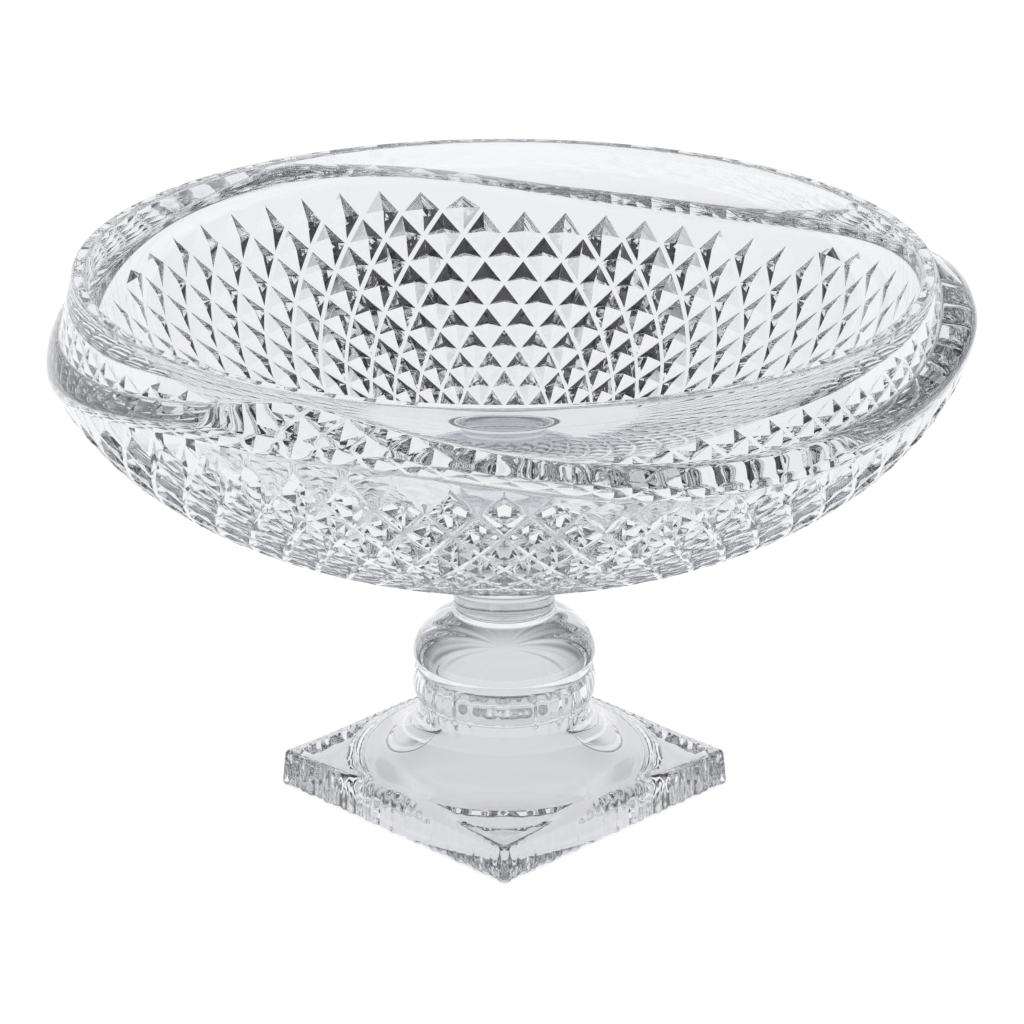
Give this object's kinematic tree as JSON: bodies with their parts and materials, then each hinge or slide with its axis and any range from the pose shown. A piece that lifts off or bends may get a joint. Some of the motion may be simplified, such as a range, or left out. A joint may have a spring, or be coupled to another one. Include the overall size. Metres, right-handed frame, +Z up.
{
  "type": "footed fruit bowl",
  "caption": "Clear crystal fruit bowl with pressed diamonds and a wave ledge below the rim, on a knopped pedestal with a square foot.",
  "frame": {"origin": "on the ground, under the middle of the square foot", "axes": "+Z up along the stem, -Y towards the viewer in the picture, +X to the viewer's right"},
  "size_m": [0.3087, 0.3106, 0.1914],
  "materials": {
    "crystal": "clear, fire-polished",
    "clear_adhesive": "clear, cured"
  },
  "bodies": {
    "root": {"bowl": "crystal", "bond_film": "clear_adhesive", "pedestal": "crystal"}
  },
  "joints": []
}
